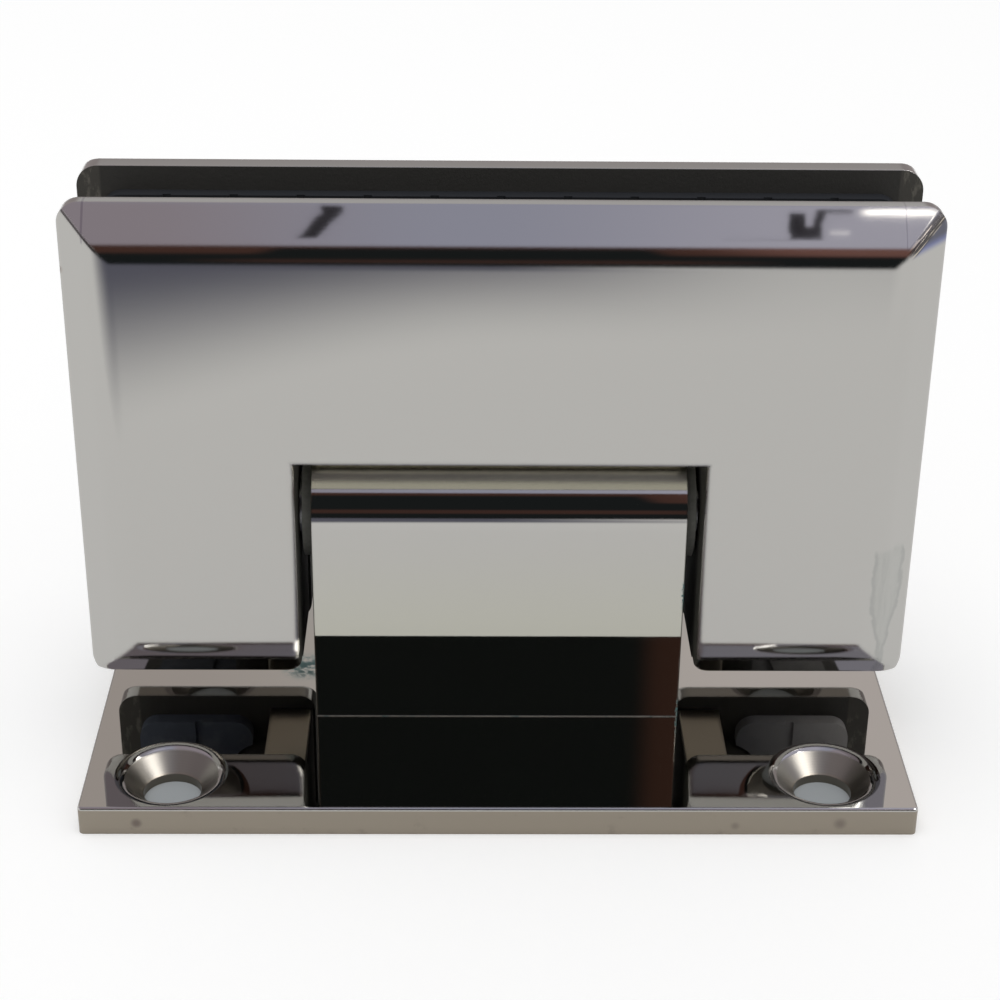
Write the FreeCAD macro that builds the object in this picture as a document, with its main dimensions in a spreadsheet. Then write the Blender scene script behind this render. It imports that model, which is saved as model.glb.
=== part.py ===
import FreeCAD, Part
import math
import os

import Sketcher

# Glass door hinge: a polished clamp that grips the edge of a glass door, swinging on a pin
# in a block that stands on a wall plate.
# Frame: millimetres, +Z away from the wall face, X along the wall plate's long side and the pin,
# Y through the thickness of the glass. Origin on the wall face under the middle of the plate.
# The clamp is upright, which is the closed door.

os.makedirs("parts", exist_ok=True)
doc = FreeCAD.newDocument("glass_door_hinge")
Vector = FreeCAD.Vector

SIZES = [
    ("wall_width", 89.4, "wall plate, long side"),
    ("wall_depth", 50.0, "wall plate, short side"),
    ("wall_thickness", 3.3, "wall plate, thickness"),
    ("wall_corner", 0.6, "wall plate, corner rounding"),
    ("wall_edge", 0.3, "wall plate, polished rounding of the upper edge"),
    ("wall_hole_margin_x", 9.25, "wall screw holes, centre to the plate's short side"),
    ("wall_hole_margin_y", 6.6, "wall screw holes, centre to the plate's long side"),
    ("wall_hole_width", 6.3, "wall screw holes, bore"),
    ("wall_sink_width", 10.9, "wall screw holes, countersink at the face"),
    ("wall_lip", 1.6, "wall screw holes, polished rounding of the countersink's mouth"),
    ("pivot_rise", 23.75, "pin axis above the wall plate"),
    ("block_width", 40.8, "block along the pin"),
    ("block_depth", 14.2, "block across the pin, and its round top"),
    ("side_gap", 1.4, "front clamp plate to block, each side"),
    ("crown_gap", 2.25, "clamp to the block's round top"),
    ("pin_width", 8.0, "pin, diameter"),
    ("pin_flat", 0.8, "depth of the three flats that the pressure bar finds"),
    ("tongue_thickness", 5.6, "pin ends, across their two flats"),
    ("running_gap", 0.05, "radial clearance of pin and bush"),
    ("bush_length", 7.0, "bush, part inside the block"),
    ("bush_wall", 1.0, "bush, wall of the sleeve"),
    ("flange_rim", 1.0, "bush, flange beyond the sleeve"),
    ("flange_thickness", 1.0, "bush, flange"),
    ("flange_gap", 0.15, "bush, flange to the rear clamp plate"),
    ("slot_web", 1.2, "block, web between bush and spring slot"),
    ("slot_depth", 6.4, "block, spring slot across the pin"),
    ("bar_gap", 0.2, "pressure bar to slot"),
    ("bar_height", 5.0, "pressure bar, height"),
    ("bar_drop", 0.1, "pressure bar below the round of the pin"),
    ("spring_width", 5.2, "spring, outside diameter"),
    ("spring_wire", 0.9, "spring, wire"),
    ("spring_turns", 5.5, "spring, turns"),
    ("spring_seat", 1.0, "spring pocket in the pressure bar, depth"),
    ("seat_gap", 0.2, "spring to its pocket"),
    ("block_screw_width", 4.0, "block screw, thread"),
    ("block_head_width", 7.6, "block screw, head"),
    ("block_sink_width", 8.2, "block screw, countersink in the plate"),
    ("block_screw_length", 12.0, "block screw, length"),
    ("block_socket", 2.5, "block screw, hexagon socket across flats"),
    ("door_gap", 6.1, "clamp's lower edge above the wall plate"),
    ("clamp_width", 90.0, "clamp, width"),
    ("clamp_height", 55.0, "clamp, height"),
    ("front_rim", 1.5, "front clamp plate, square rim before the bevel"),
    ("rear_rim", 2.4, "rear clamp plate, square rim before the bevel"),
    ("rear_drop", 0.6, "rear clamp plate's outline below the front one's"),
    ("bevel_depth", 3.35, "bevel, through the plate's thickness"),
    ("bevel_width", 4.15, "bevel, width seen from the front"),
    ("bevel_round", 4.6, "bevel, polished rounding towards the face"),
    ("clamp_corner", 2.3, "clamp, corner rounding of the outline"),
    ("foot_corner", 1.8, "clamp, rounding where the notch meets the lower edge"),
    ("edge_round", 0.7, "clamp, polished rounding of the notch's outer edge"),
    ("glass_gap", 11.4, "between the inner faces of the clamp plates"),
    ("rib_width", 5.0, "rib beside the notch"),
    ("rib_inset", 1.0, "rib above the clamp's lower edge"),
    ("bridge_height", 2.4, "bridge between the ribs, over the notch"),
    ("boss_gap", 0.3, "ribs and bosses to the rear plate"),
    ("boss_radius", 3.9, "screw boss"),
    ("boss_offset", 5.8, "screw boss from the notch's side"),
    ("boss_clear", 0.5, "lower screw boss to the pin"),
    ("boss_rise", 6.6, "upper screw above the notch"),
    ("clamp_screw_width", 5.0, "clamp screw, thread"),
    ("clamp_head_width", 9.2, "clamp screw, head"),
    ("clamp_sink_width", 9.8, "clamp screw, countersink in the rear plate"),
    ("clamp_screw_length", 16.0, "clamp screw, length"),
    ("clamp_socket", 3.0, "clamp screw, hexagon socket across flats"),
    ("front_wall", 1.6, "metal left in front of the blind threads"),
    ("socket_depth", 0.65, "screw sockets, depth as a share of their width"),
    ("screw_gap", 0.05, "screws to their threads and seats"),
    ("hole_gap", 0.25, "screws to their clearance holes"),
    ("gasket_thickness", 1.7, "gasket"),
    ("gasket_margin", 2.6, "gasket inside the clamp's outline"),
    ("gasket_corner", 2.2, "gasket, corner rounding"),
    ("cutout_side", 2.2, "gasket beyond the rib"),
    ("cutout_top", 0.9, "gasket above the upper bosses"),
    ("gasket_relief", 0.4, "gasket round the bosses"),
    ("groove_pitch", 7.06, "gasket grooves, centre to centre"),
    ("groove_width", 0.9, "gasket grooves, width"),
    ("groove_depth", 0.35, "gasket grooves, depth"),
]

sheet = doc.addObject("Spreadsheet::Sheet", "Sizes")
for row, (alias, value, meaning) in enumerate(SIZES, 1):
    sheet.set(f"A{row}", meaning)
    sheet.set(f"B{row}", str(value))
    sheet.setAlias(f"B{row}", alias)
doc.recompute()

# Places that several pieces share, as expressions of the sheet.
HALF_GAP = "(Sizes.glass_gap / 2)"
FRONT_THICKNESS = "(Sizes.front_rim + Sizes.bevel_depth)"
REAR_THICKNESS = "(Sizes.rear_rim + Sizes.bevel_depth)"
FRONT_FACE = f"({HALF_GAP} + {FRONT_THICKNESS})"
REAR_FACE = f"({HALF_GAP} + {REAR_THICKNESS})"
PIVOT = "(Sizes.wall_thickness + Sizes.pivot_rise)"
PIN_RADIUS = "(Sizes.pin_width / 2)"
SLEEVE_RADIUS = "(Sizes.pin_width / 2 + Sizes.bush_wall)"
BLOCK_HALF = "(Sizes.block_width / 2)"
CROWN_RADIUS = "(Sizes.block_depth / 2)"
SLOT_HALF = "(Sizes.block_width / 2 - Sizes.bush_length - Sizes.slot_web)"
BLOCK_SCREW_X = "(Sizes.block_width / 2 - (Sizes.bush_length + Sizes.slot_web) / 2)"
BAR_HALF = f"({SLOT_HALF} - Sizes.bar_gap)"
SPRING_PITCH = f"(2 * {BAR_HALF} / 3)"
BAR_TOP = f"({PIVOT} - {PIN_RADIUS} - Sizes.bar_drop)"
BAR_LOW = f"({BAR_TOP} - Sizes.bar_height)"
CLAMP_LOW = "(Sizes.wall_thickness + Sizes.door_gap)"
CLAMP_TOP = f"({CLAMP_LOW} + Sizes.clamp_height)"
NOTCH_HALF = f"({BLOCK_HALF} + Sizes.side_gap)"
REAR_NOTCH_HALF = f"({BLOCK_HALF} + Sizes.flange_thickness + Sizes.flange_gap)"
NOTCH_TOP = f"({PIVOT} + {CROWN_RADIUS} + Sizes.crown_gap)"
RIB_OUTER = f"({NOTCH_HALF} + Sizes.rib_width)"
BOSS_X = f"({NOTCH_HALF} + Sizes.boss_offset)"
BOSS_LOW = f"({PIVOT} - {PIN_RADIUS} - Sizes.boss_clear - Sizes.boss_radius)"
BOSS_HIGH = f"({NOTCH_TOP} + Sizes.boss_rise)"
BOSS_END = f"({HALF_GAP} - Sizes.boss_gap)"
TONGUE_HALF = "(Sizes.tongue_thickness / 2)"

# A cut that leaves the solid runs this far past it, and places this near are the same.
PAST = 1.0
NEAR = 1e-3


gauge = doc.addObject("App::FeaturePython", "Gauge")
gauge.addProperty("App::PropertyFloat", "Reading")


def size(expression):
    """Value of an expression of the sheet, in millimetres."""
    gauge.setExpression("Reading", expression)
    gauge.recompute()
    return gauge.Reading


def new_body(label):
    """Empty body whose label is the sub-part's name."""
    body = doc.addObject("PartDesign::Body", label)
    body.Label = label
    return body


def new_sketch(body, name, role, offset="0"):
    """Sketch on an origin plane of the body, moved along the plane's normal by offset."""
    plane = next(item for item in body.Origin.OriginFeatures if item.Role == role)
    sketch = body.newObject("Sketcher::SketchObject", name)
    sketch.AttachmentSupport = (plane, [""])
    sketch.MapMode = "FlatFace"
    sketch.setExpression("AttachmentOffset.Base.z", offset)
    return sketch


def tie(sketch, geometry, point, across, up):
    """Ties a point of the sketch to expressions for its two coordinates. None leaves one free."""
    for kind, expression in (("DistanceX", across), ("DistanceY", up)):
        if expression is None:
            continue
        rule = Sketcher.Constraint(kind, -1, 1, geometry, point, size(expression))
        index = sketch.addConstraint(rule)
        name = f"{kind}_{geometry}_{point}"
        sketch.renameConstraint(index, name)
        sketch.setExpression(f"Constraints.{name}", expression)


def add_polygon(sketch, corners):
    """Closed run of straight edges. Each corner is a pair of expressions."""
    places = [Vector(size(across), size(up), 0) for across, up in corners]
    first = sketch.GeometryCount
    count = len(corners)
    for index in range(count):
        sketch.addGeometry(Part.LineSegment(places[index], places[(index + 1) % count]), False)
    for index in range(count):
        after = first + (index + 1) % count
        sketch.addConstraint(Sketcher.Constraint("Coincident", first + index, 2, after, 1))
        tie(sketch, first + index, 1, *corners[index])


def add_rectangle(sketch, left, low, right, high):
    """Rectangle between two opposite corners, given as expressions."""
    add_polygon(sketch, [(left, low), (right, low), (right, high), (left, high)])


def add_circle(sketch, across, up, radius):
    """Circle whose centre and radius are expressions."""
    circle = Part.Circle(Vector(size(across), size(up), 0), Vector(0, 0, 1), size(radius))
    index = sketch.addGeometry(circle, False)
    tie(sketch, index, 3, across, up)
    rule = sketch.addConstraint(Sketcher.Constraint("Radius", index, size(radius)))
    sketch.renameConstraint(rule, f"Radius_{index}")
    sketch.setExpression(f"Constraints.Radius_{index}", radius)


def extrude(body, kind, name, sketch, length, reverse=False, symmetric=False):
    """Pad or Pocket of a sketch, checked to have changed the body's volume."""
    before = body.Shape.Volume if body.Shape.Solids else 0.0
    feature = body.newObject(f"PartDesign::{kind}", name)
    feature.Profile = sketch
    feature.Reversed = reverse
    feature.SideType = "Symmetric" if symmetric else "One side"
    feature.setExpression("Length", length)
    doc.recompute()
    if abs(body.Shape.Volume - before) < 1e-6:
        raise RuntimeError(f"{body.Label}: {name} changes nothing")
    return feature


def finish_edges(body, kind, name, chosen, **sizes):
    """Fillet or Chamfer on the edges of the body's tip that the test picks."""
    tip = body.Tip
    edges = [f"Edge{index}" for index, edge in enumerate(tip.Shape.Edges, 1) if chosen(edge)]
    if not edges:
        raise RuntimeError(f"{body.Label}: {name} finds no edge")
    feature = body.newObject(f"PartDesign::{kind}", name)
    feature.Base = (tip, edges)
    if "Size2" in sizes:
        feature.ChamferType = "Two distances"
    for key, expression in sizes.items():
        feature.setExpression(key, expression)
    doc.recompute()
    return feature


def lies_at(edge, axis, place):
    """True when the whole edge lies in the plane at this place along the axis x, y or z."""
    box = edge.BoundBox
    low = getattr(box, f"{axis.upper()}Min")
    high = getattr(box, f"{axis.upper()}Max")
    return abs(low - place) < 1e-4 and abs(high - place) < 1e-4


def runs_along(edge, axis):
    """True for a straight edge parallel to the axis x, y or z."""
    if not isinstance(edge.Curve, (Part.Line, Part.LineSegment)):
        return False
    direction = edge.tangentAt(edge.FirstParameter)
    return abs(abs(getattr(direction, axis)) - 1.0) < 1e-6


def is_circle(edge, axis, place, radius):
    """True for a circular edge of this radius in the plane at this place along the axis."""
    if not isinstance(edge.Curve, Part.Circle):
        return False
    return lies_at(edge, axis, place) and abs(edge.Curve.Radius - radius) < 1e-4


def turn_profile(body, kind, name, sketch, axis):
    """Revolution or Groove of a sketch by a full turn about one of the sketch's axes."""
    feature = body.newObject(f"PartDesign::{kind}", name)
    feature.Profile = sketch
    feature.ReferenceAxis = (sketch, [axis])
    feature.Angle = 360.0
    doc.recompute()
    return feature


def add_hexagon(sketch, across_flats):
    """Regular hexagon about the sketch's origin, for a socket."""
    flat = f"({across_flats} / 2)"
    corner = f"({across_flats} / sqrt(3))"
    half = f"({corner} / 2)"
    add_polygon(sketch, [(corner, "0"), (half, flat), (f"-{half}", flat),
                         (f"-{corner}", "0"), (f"-{half}", f"-{flat}"), (half, f"-{flat}")])


def make_wall_plate():
    """Flat plate with four countersunk wall screw holes and two holes for the block's screws."""
    body = new_body("wall_plate")
    outline = new_sketch(body, "plate_outline", "XY_Plane")
    half_x = "(Sizes.wall_width / 2)"
    half_y = "(Sizes.wall_depth / 2)"
    add_rectangle(outline, f"-{half_x}", f"-{half_y}", half_x, half_y)
    extrude(body, "Pad", "plate", outline, "Sizes.wall_thickness")
    finish_edges(body, "Fillet", "plate_corners", lambda edge: runs_along(edge, "z"),
                 Radius="Sizes.wall_corner")
    top = size("Sizes.wall_thickness")
    finish_edges(body, "Fillet", "plate_edge", lambda edge: lies_at(edge, "z", top),
                 Radius="Sizes.wall_edge")

    # Each wall screw hole is bored, countersunk from above and polished round at its mouth.
    hole_x = f"({half_x} - Sizes.wall_hole_margin_x)"
    hole_y = f"({half_y} - Sizes.wall_hole_margin_y)"
    bore = new_sketch(body, "wall_bores", "XY_Plane")
    for across in (f"-{hole_x}", hole_x):
        for up in (f"-{hole_y}", hole_y):
            add_circle(bore, across, up, "Sizes.wall_hole_width / 2")
    extrude(body, "Pocket", "wall_holes", bore, f"Sizes.wall_thickness + {PAST}", reverse=True)
    bore_radius = size("Sizes.wall_hole_width / 2")
    sink_radius = size("Sizes.wall_sink_width / 2")
    finish_edges(body, "Chamfer", "wall_sinks", lambda edge: is_circle(edge, "z", top, bore_radius),
                 Size="(Sizes.wall_sink_width - Sizes.wall_hole_width) / 2")
    finish_edges(body, "Fillet", "wall_lips", lambda edge: is_circle(edge, "z", top, sink_radius),
                 Radius="Sizes.wall_lip")

    # The block's screws come from behind, where the wall covers them.
    narrow = "(Sizes.block_screw_width / 2 + Sizes.hole_gap)"
    holes = new_sketch(body, "block_screw_bores", "XY_Plane")
    for across in (f"-{BLOCK_SCREW_X}", BLOCK_SCREW_X):
        add_circle(holes, across, "0", narrow)
    extrude(body, "Pocket", "block_screw_holes", holes, f"Sizes.wall_thickness + {PAST}", reverse=True)
    finish_edges(body, "Chamfer", "block_screw_sinks", lambda edge: is_circle(edge, "z", 0.0, size(narrow)),
                 Size=f"Sizes.block_sink_width / 2 - {narrow}")
    return body


def make_pivot_block():
    """Block with a full-round top, a cross bore for the pin and a slot for bar and springs."""
    body = new_body("pivot_block")
    profile = new_sketch(body, "block_profile", "YZ_Plane")
    low = "Sizes.wall_thickness"
    places = [(f"-{CROWN_RADIUS}", PIVOT), (f"-{CROWN_RADIUS}", low),
              (CROWN_RADIUS, low), (CROWN_RADIUS, PIVOT)]
    points = [Vector(size(across), size(up), 0) for across, up in places]
    for start, end in zip(points, points[1:]):
        profile.addGeometry(Part.LineSegment(start, end), False)
    crown = Vector(0, size(PIVOT) + size(CROWN_RADIUS), 0)
    profile.addGeometry(Part.Arc(points[3], crown, points[0]), False)
    for joint in ((0, 2, 1, 1), (1, 2, 2, 1), (2, 2, 3, 1), (3, 2, 0, 1)):
        profile.addConstraint(Sketcher.Constraint("Coincident", *joint))
    for index, place in enumerate(places[:3]):
        tie(profile, index, 1, *place)
    tie(profile, 2, 2, *places[3])
    tie(profile, 3, 3, None, PIVOT)
    extrude(body, "Pad", "block", profile, "Sizes.block_width", symmetric=True)

    bore = new_sketch(body, "pin_bore_circle", "YZ_Plane")
    add_circle(bore, "0", PIVOT, f"{PIN_RADIUS} + 6 * Sizes.running_gap")
    extrude(body, "Pocket", "pin_bore", bore, "Sizes.block_width", symmetric=True)
    for name, side in (("left", -1), ("right", 1)):
        seat = new_sketch(body, f"bush_seat_{name}_circle", "YZ_Plane", f"{side} * {BLOCK_HALF}")
        add_circle(seat, "0", PIVOT, SLEEVE_RADIUS)
        extrude(body, "Pocket", f"bush_seat_{name}", seat, "Sizes.bush_length", reverse=side < 0)

    slot = new_sketch(body, "spring_slot_outline", "XY_Plane", low)
    half = "(Sizes.slot_depth / 2)"
    add_rectangle(slot, f"-{SLOT_HALF}", f"-{half}", SLOT_HALF, half)
    extrude(body, "Pocket", "spring_slot", slot, "Sizes.pivot_rise", reverse=True)

    threads = new_sketch(body, "block_thread_circles", "XY_Plane", low)
    for across in (f"-{BLOCK_SCREW_X}", BLOCK_SCREW_X):
        add_circle(threads, across, "0", "Sizes.block_screw_width / 2 + Sizes.screw_gap")
    extrude(body, "Pocket", "block_threads", threads, "Sizes.block_screw_length", reverse=True)
    return body


def make_pin():
    """Pin with two tongues that the clamp holds and three flats that the pressure bar finds."""
    body = new_body("pivot_pin")
    tongue_start = f"({NOTCH_HALF} - Sizes.screw_gap)"
    tongue_end = f"({RIB_OUTER} - 8 * Sizes.screw_gap)"
    circle = new_sketch(body, "pin_circle", "YZ_Plane")
    add_circle(circle, "0", PIVOT, PIN_RADIUS)
    extrude(body, "Pad", "pin", circle, f"2 * {tongue_end}", symmetric=True)

    tongues = new_sketch(body, "tongue_flats_outline", "XZ_Plane")
    beyond = f"({tongue_end} + {PAST})"
    for near, far in ((tongue_start, beyond), (f"-{beyond}", f"-{tongue_start}")):
        add_rectangle(tongues, near, f"{PIVOT} + {TONGUE_HALF}", far, f"{PIVOT} + {PIN_RADIUS} + {PAST}")
        add_rectangle(tongues, near, f"{PIVOT} - {PIN_RADIUS} - {PAST}", far, f"{PIVOT} - {TONGUE_HALF}")
    extrude(body, "Pocket", "tongue_flats", tongues, f"Sizes.pin_width + {PAST}", symmetric=True)

    reach = f"({PIN_RADIUS} - Sizes.pin_flat)"
    under = new_sketch(body, "closed_flat_outline", "XZ_Plane")
    ground = f"{PIVOT} - {PIN_RADIUS} - {PAST}"
    add_rectangle(under, f"-{SLOT_HALF}", ground, SLOT_HALF, f"{PIVOT} - {reach}")
    extrude(body, "Pocket", "closed_flat", under, f"Sizes.pin_width + {PAST}", symmetric=True)
    beside = new_sketch(body, "open_flats_outline", "XY_Plane", PIVOT)
    edge = f"({PIN_RADIUS} + {PAST})"
    add_rectangle(beside, f"-{SLOT_HALF}", reach, SLOT_HALF, edge)
    add_rectangle(beside, f"-{SLOT_HALF}", f"-{edge}", SLOT_HALF, f"-{reach}")
    extrude(body, "Pocket", "open_flats", beside, f"Sizes.pin_width + {PAST}", symmetric=True)
    return body


def make_bush(label, side):
    """Flanged bush: the sleeve sits in the block, the flange keeps the clamp off the block."""
    body = new_body(label)
    inner = f"({PIN_RADIUS} + Sizes.running_gap)"
    flange = f"({SLEEVE_RADIUS} + Sizes.flange_rim)"
    start = f"({BLOCK_HALF} - Sizes.bush_length)"
    end = f"({BLOCK_HALF} + Sizes.flange_thickness)"
    profile = new_sketch(body, f"{label}_profile", "XY_Plane")
    add_polygon(profile, [(start, inner), (end, inner), (end, flange), (BLOCK_HALF, flange),
                          (BLOCK_HALF, SLEEVE_RADIUS), (start, SLEEVE_RADIUS)])
    turn_profile(body, "Revolution", f"{label}_turned", profile, "H_Axis")
    facing = FreeCAD.Rotation(Vector(0, 0, 1), 0 if side > 0 else 180)
    body.Placement = FreeCAD.Placement(Vector(0, 0, 0), facing)
    body.setExpression("Placement.Base.z", PIVOT)
    return body


def make_pressure_bar():
    """Bar under the pin, stored just below the pin's round, with a pocket for each spring."""
    body = new_body("pressure_bar")
    half_y = "(Sizes.slot_depth / 2 - Sizes.bar_gap)"
    outline = new_sketch(body, "bar_outline", "XY_Plane", BAR_LOW)
    add_rectangle(outline, f"-{BAR_HALF}", f"-{half_y}", BAR_HALF, half_y)
    extrude(body, "Pad", "bar", outline, "Sizes.bar_height")
    top = size(BAR_TOP)
    finish_edges(body, "Chamfer", "bar_lead", lambda edge: runs_along(edge, "x") and lies_at(edge, "z", top),
                 Size="(Sizes.slot_depth - Sizes.bar_gap) / 12")
    seats = new_sketch(body, "spring_seat_circles", "XY_Plane", BAR_LOW)
    for step in (-1, 0, 1):
        add_circle(seats, f"{step} * {SPRING_PITCH}", "0", "Sizes.spring_width / 2 + Sizes.seat_gap")
    extrude(body, "Pocket", "spring_seats", seats, "Sizes.spring_seat", reverse=True)
    return body


def make_spring(label, step):
    """Compression spring with ends ground flat, standing on the wall plate under the bar."""
    wire = size("Sizes.spring_wire")
    radius = size("Sizes.spring_width") / 2 - wire / 2
    low = size("Sizes.wall_thickness")
    high = size(f"{BAR_LOW} + Sizes.spring_seat")
    pitch = (high - low) / size("Sizes.spring_turns")
    helix = Part.makeHelix(pitch, high - low, radius)
    corners = []
    for turn in range(7):
        angle = math.radians(60 * turn)
        corners.append(Vector(radius + wire / 2 * math.cos(angle), 0, wire / 2 * math.sin(angle)))
    coil = Part.Wire(helix).makePipeShell([Part.makePolygon(corners)], True, True)
    room = Part.makeCylinder(radius + wire, high - low)
    spring = doc.addObject("Part::Feature", label)
    spring.Label = label
    spring.Shape = coil.common(room)
    spring.Placement.Base = Vector(step * size(SPRING_PITCH), 0, low)
    return spring


def make_screw(label, width, head_width, length, socket):
    """Countersunk screw with a hexagon socket, its head at the origin and its tip along -Z."""
    body = new_body(label)
    profile = new_sketch(body, f"{label}_profile", "XZ_Plane")
    half = f"({width} / 2)"
    head = f"({head_width} / 2)"
    neck = f"(({head_width} - {width}) / 2)"
    tip = f"({width} / 8)"
    add_polygon(profile, [("0", "0"), (head, "0"), (half, f"-{neck}"), (half, f"-({length} - {tip})"),
                          (f"{half} - {tip}", f"-{length}"), ("0", f"-{length}")])
    turn_profile(body, "Revolution", f"{label}_turned", profile, "V_Axis")
    hexagon = new_sketch(body, f"{label}_socket_outline", "XY_Plane")
    add_hexagon(hexagon, socket)
    extrude(body, "Pocket", f"{label}_socket", hexagon, f"Sizes.socket_depth * {socket}")
    return body


def make_block_screw(label, side):
    """Screw from the back of the wall plate into the block."""
    body = make_screw(label, "Sizes.block_screw_width", "Sizes.block_head_width",
                      "Sizes.block_screw_length", "Sizes.block_socket")
    sunk = "((Sizes.block_sink_width - Sizes.block_head_width) / 2 - Sizes.screw_gap)"
    body.Placement = FreeCAD.Placement(Vector(0, 0, 0), FreeCAD.Rotation(Vector(1, 0, 0), 180))
    body.setExpression("Placement.Base.x", f"{side} * {BLOCK_SCREW_X}")
    body.setExpression("Placement.Base.z", sunk)
    return body


def make_clamp_screw(label, side, height):
    """Screw from the back of the rear clamp plate into a boss of the front one."""
    body = make_screw(label, "Sizes.clamp_screw_width", "Sizes.clamp_head_width",
                      "Sizes.clamp_screw_length", "Sizes.clamp_socket")
    sunk = "((Sizes.clamp_sink_width - Sizes.clamp_head_width) / 2 - Sizes.screw_gap)"
    body.Placement = FreeCAD.Placement(Vector(0, 0, 0), FreeCAD.Rotation(Vector(1, 0, 0), -90))
    body.setExpression("Placement.Base.x", f"{side} * {BOSS_X}")
    body.setExpression("Placement.Base.y", f"{REAR_FACE} - {sunk}")
    body.setExpression("Placement.Base.z", height)
    return body


def add_rounded_rectangle(sketch, left, low, right, high, radius):
    """Rectangle with tangent corner arcs, all from expressions."""
    x0, y0, x1, y1, bend = (size(item) for item in (left, low, right, high, radius))
    first = sketch.GeometryCount
    sides = [((x0 + bend, y0), (x1 - bend, y0)), ((x1, y0 + bend), (x1, y1 - bend)),
             ((x1 - bend, y1), (x0 + bend, y1)), ((x0, y1 - bend), (x0, y0 + bend))]
    for start, end in sides:
        sketch.addGeometry(Part.LineSegment(Vector(*start, 0), Vector(*end, 0)), False)
    centres = [(x1 - bend, y0 + bend, -90), (x1 - bend, y1 - bend, 0),
               (x0 + bend, y1 - bend, 90), (x0 + bend, y0 + bend, 180)]
    for x, y, angle in centres:
        circle = Part.Circle(Vector(x, y, 0), Vector(0, 0, 1), bend)
        arc = Part.ArcOfCircle(circle, math.radians(angle), math.radians(angle + 90))
        sketch.addGeometry(arc, False)
    for index in range(4):
        line = first + index
        arc = first + 4 + index
        sketch.addConstraint(Sketcher.Constraint("Tangent", line, 2, arc, 1))
        sketch.addConstraint(Sketcher.Constraint("Tangent", arc, 2, first + (index + 1) % 4, 1))
        name = f"Corner_{arc}"
        sketch.renameConstraint(sketch.addConstraint(Sketcher.Constraint("Radius", arc, bend)), name)
        sketch.setExpression(f"Constraints.{name}", radius)
        sketch.addConstraint(Sketcher.Constraint("Horizontal" if index % 2 == 0 else "Vertical", line))
    tie(sketch, first, 1, None, low)
    tie(sketch, first + 1, 1, right, None)
    tie(sketch, first + 2, 1, None, high)
    tie(sketch, first + 3, 1, left, None)


def add_notch(sketch, half, low):
    """Notch open downwards, with rounded corners where it meets the plate's lower edge."""
    corner = "Sizes.foot_corner"
    bend = size(corner)
    foot = f"({half} + {corner})"
    ground = f"({low} - {PAST})"
    start = f"({low} + {corner})"
    right = [(half, NOTCH_TOP), (half, start), (foot, low), (foot, ground)]
    left = [(f"-{across}", up) for across, up in reversed(right)]
    run = right + left
    points = [Vector(size(across), size(up), 0) for across, up in run]
    slant = bend * (1 - math.sqrt(0.5))
    for index, point in enumerate(points):
        following = points[(index + 1) % len(points)]
        if index == 1:
            middle = Vector(size(half) + slant, size(low) + slant, 0)
            sketch.addGeometry(Part.Arc(point, middle, following), False)
        elif index == 5:
            middle = Vector(-size(half) - slant, size(low) + slant, 0)
            sketch.addGeometry(Part.Arc(point, middle, following), False)
        else:
            sketch.addGeometry(Part.LineSegment(point, following), False)
    ends = []
    for index, point in enumerate(points):
        near = (sketch.getPoint(index, 1) - point).Length < 1e-6
        ends.append((1, 2) if near else (2, 1))
    for index in range(len(points)):
        after = (index + 1) % len(points)
        sketch.addConstraint(Sketcher.Constraint("Coincident", index, ends[index][1], after, ends[after][0]))
    for index, (across, up) in enumerate(run):
        if index == 2:
            tie(sketch, index, 1, across, None)
        elif index == 5:
            tie(sketch, index, ends[index][0], across, None)
        elif index not in (1, 6):
            tie(sketch, index, 1, across, up)
    tie(sketch, 1, ends[1][0], half, start)
    tie(sketch, 1, 3, foot, start)
    tie(sketch, 5, ends[5][1], f"-{half}", start)
    tie(sketch, 5, 3, f"-{foot}", start)


def make_clamp_shell(label, side, rim, notch_half, drop):
    """Bevelled plate with its notch. side is 1 for the front plate and -1 for the rear one."""
    body = new_body(label)
    half = "(Sizes.clamp_width / 2)"
    low = f"({CLAMP_LOW} - {drop})"
    high = f"({CLAMP_TOP} - {drop})"
    inner = f"{side} * {HALF_GAP}"
    thickness = f"({rim} + Sizes.bevel_depth)"
    outline = new_sketch(body, f"{label}_outline", "XZ_Plane", inner)
    add_rectangle(outline, f"-{half}", low, half, high)
    extrude(body, "Pad", f"{label}_plate", outline, thickness, reverse=side < 0)
    face = -side * size(f"{HALF_GAP} + {thickness}")
    finish_edges(body, "Chamfer", f"{label}_bevel", lambda edge: lies_at(edge, "y", face),
                 Size="Sizes.bevel_depth", Size2="Sizes.bevel_width")
    finish_edges(body, "Fillet", f"{label}_bevel_round", lambda edge: lies_at(edge, "y", face),
                 Radius="Sizes.bevel_round")

    corners = new_sketch(body, f"{label}_corner_outline", "XZ_Plane", inner)
    add_rectangle(corners, f"-{half} - {PAST}", f"{low} - {PAST}", f"{half} + {PAST}", f"{high} + {PAST}")
    add_rounded_rectangle(corners, f"-{half}", low, half, high, "Sizes.clamp_corner")
    extrude(body, "Pocket", f"{label}_corners", corners, f"2 * ({thickness} + {PAST})", symmetric=True)

    notch = new_sketch(body, f"{label}_notch_outline", "XZ_Plane", inner)
    add_notch(notch, notch_half, low)
    extrude(body, "Pocket", f"{label}_notch", notch, f"2 * ({thickness} + {PAST})", symmetric=True)

    reach = size(f"{notch_half} + Sizes.foot_corner") + NEAR
    ceiling = size(NOTCH_TOP) + NEAR
    rim_end = size(f"{HALF_GAP} + {rim}") - NEAR

    def on_notch_rim(edge):
        box = edge.BoundBox
        inside = box.XMin > -reach and box.XMax < reach and box.ZMax < ceiling
        return inside and min(abs(box.YMin), abs(box.YMax)) > rim_end

    finish_edges(body, "Fillet", f"{label}_notch_round", on_notch_rim, Radius="Sizes.edge_round")
    return body


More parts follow.
